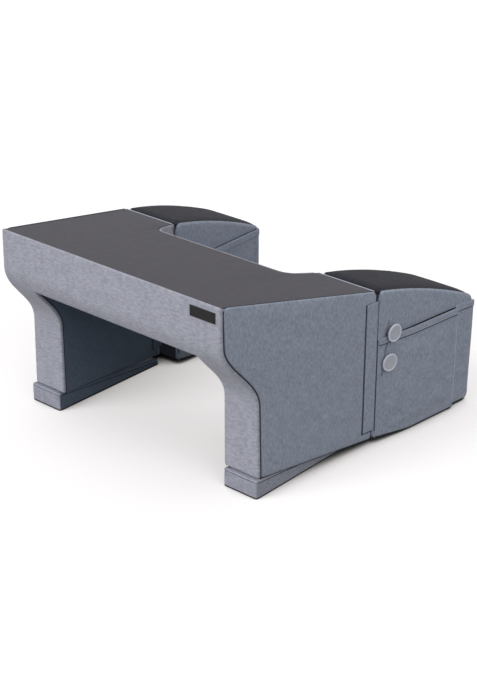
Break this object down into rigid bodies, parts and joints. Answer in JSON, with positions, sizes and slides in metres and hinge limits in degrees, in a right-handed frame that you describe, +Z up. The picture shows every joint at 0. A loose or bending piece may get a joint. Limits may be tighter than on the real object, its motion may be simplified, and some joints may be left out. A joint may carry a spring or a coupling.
{
  "type": "lap desk",
  "caption": "Padded lap desk: a sloping foam desk on side legs with a waist notch, detachable armrests with side pockets, and riser wedges.",
  "frame": {"origin": "on the floor, in the middle of the bounding box of the whole part", "axes": "+X across the desk to the side with the label, +Y from the apron towards the person who sits behind it, +Z up"},
  "size_m": [0.7268, 0.6668, 0.4025],
  "materials": {
    "front_linen": "heathered linen weave, light grey-lavender",
    "side_linen": "heathered linen weave, slate blue-grey",
    "leatherette": "fine-grained charcoal leatherette, satin",
    "armrest_leatherette": "fine-grained dark charcoal leatherette, satin",
    "foam": "open-cell foam, hidden inside the covers",
    "board": "thin plywood, hidden under the desk top",
    "antislip": "black non-slip cloth with rubber dots",
    "hook_tape": "hook-and-loop tape, dark grey",
    "label_cloth": "bare woven label, black",
    "button_linen": "cloth-covered button, pale grey",
    "cord": "thin braided cord, pale grey"
  },
  "bodies": {
    "desk": {"desk_foam_core": "foam", "desk_top_board": "board", "desk_top_skin": "leatherette", "front_cover_panel": "front_linen", "left_side_panel": "side_linen", "right_side_panel": "side_linen", "left_inner_leg_panel": "side_linen", "right_inner_leg_panel": "side_linen", "underside_panel": "side_linen", "left_leg_sole": "antislip", "right_leg_sole": "antislip", "left_back_panel": "side_linen", "right_back_panel": "side_linen", "belly_notch_panel": "front_linen", "apron_label": "label_cloth", "left_outer_hook_tape": "hook_tape", "left_inner_hook_tape": "hook_tape", "right_outer_hook_tape": "hook_tape", "right_inner_hook_tape": "hook_tape"},
    "left_armrest": {"left_armrest_foam_core": "foam", "left_armrest_top_skin": "armrest_leatherette", "left_armrest_base_panel": "antislip", "left_armrest_front_panel": "front_linen", "left_armrest_back_panel": "side_linen", "left_armrest_outer_panel": "side_linen", "left_armrest_inner_panel": "side_linen", "left_armrest_outer_pocket": "side_linen", "left_armrest_outer_pocket_hem": "side_linen", "left_armrest_inner_pocket": "side_linen", "left_armrest_inner_pocket_hem": "side_linen", "left_armrest_upper_button": "button_linen", "left_armrest_lower_button": "button_linen", "left_armrest_closure_cord": "cord"},
    "right_armrest": {"right_armrest_foam_core": "foam", "right_armrest_top_skin": "armrest_leatherette", "right_armrest_base_panel": "antislip", "right_armrest_front_panel": "front_linen", "right_armrest_back_panel": "side_linen", "right_armrest_outer_panel": "side_linen", "right_armrest_inner_panel": "side_linen", "right_armrest_outer_pocket": "side_linen", "right_armrest_outer_pocket_hem": "side_linen", "right_armrest_inner_pocket": "side_linen", "right_armrest_inner_pocket_hem": "side_linen", "right_armrest_upper_button": "button_linen", "right_armrest_lower_button": "button_linen", "right_armrest_closure_cord": "cord"},
    "left_outer_flap": {"left_outer_flap": "side_linen"},
    "left_inner_flap": {"left_inner_flap": "side_linen"},
    "right_outer_flap": {"right_outer_flap": "side_linen"},
    "right_inner_flap": {"right_inner_flap": "side_linen"},
    "left_riser": {"left_riser_cover": "front_linen", "left_riser_foam": "foam", "left_riser_sole": "antislip"},
    "right_riser": {"right_riser_cover": "front_linen", "right_riser_foam": "foam", "right_riser_sole": "antislip"}
  },
  "joints": [
    {"name": "left_armrest_slide", "type": "slide", "parent": "desk", "child": "left_armrest", "axis": [-0.1299, 0.9915, 0], "range_m": [0, 0.12]},
    {"name": "right_armrest_slide", "type": "slide", "parent": "desk", "child": "right_armrest", "axis": [0.1299, 0.9915, 0], "range_m": [0, 0.12]},
    {"name": "left_outer_flap_hinge", "type": "hinge", "parent": "left_armrest", "child": "left_outer_flap", "pos_m": [-0.33329, 0.04925, 0.16], "axis": [0, 0, -1], "range_deg": [0, 120]},
    {"name": "right_outer_flap_hinge", "type": "hinge", "parent": "right_armrest", "child": "right_outer_flap", "pos_m": [0.33329, 0.04925, 0.16], "axis": [0, 0, 1], "range_deg": [0, 120]},
    {"name": "left_inner_flap_hinge", "type": "hinge", "parent": "left_armrest", "child": "left_inner_flap", "pos_m": [-0.23578, 0.04925, 0.13], "axis": [0, 0, 1], "range_deg": [0, 82]},
    {"name": "right_inner_flap_hinge", "type": "hinge", "parent": "right_armrest", "child": "right_inner_flap", "pos_m": [0.23578, 0.04925, 0.13], "axis": [0, 0, -1], "range_deg": [0, 82]},
    {"name": "left_riser_slide", "type": "slide", "parent": "desk", "child": "left_riser", "axis": [0, -1, 0], "range_m": [0, 0.3]},
    {"name": "right_riser_slide", "type": "slide", "parent": "desk", "child": "right_riser", "axis": [0, -1, 0], "range_m": [0, 0.3]}
  ]
}
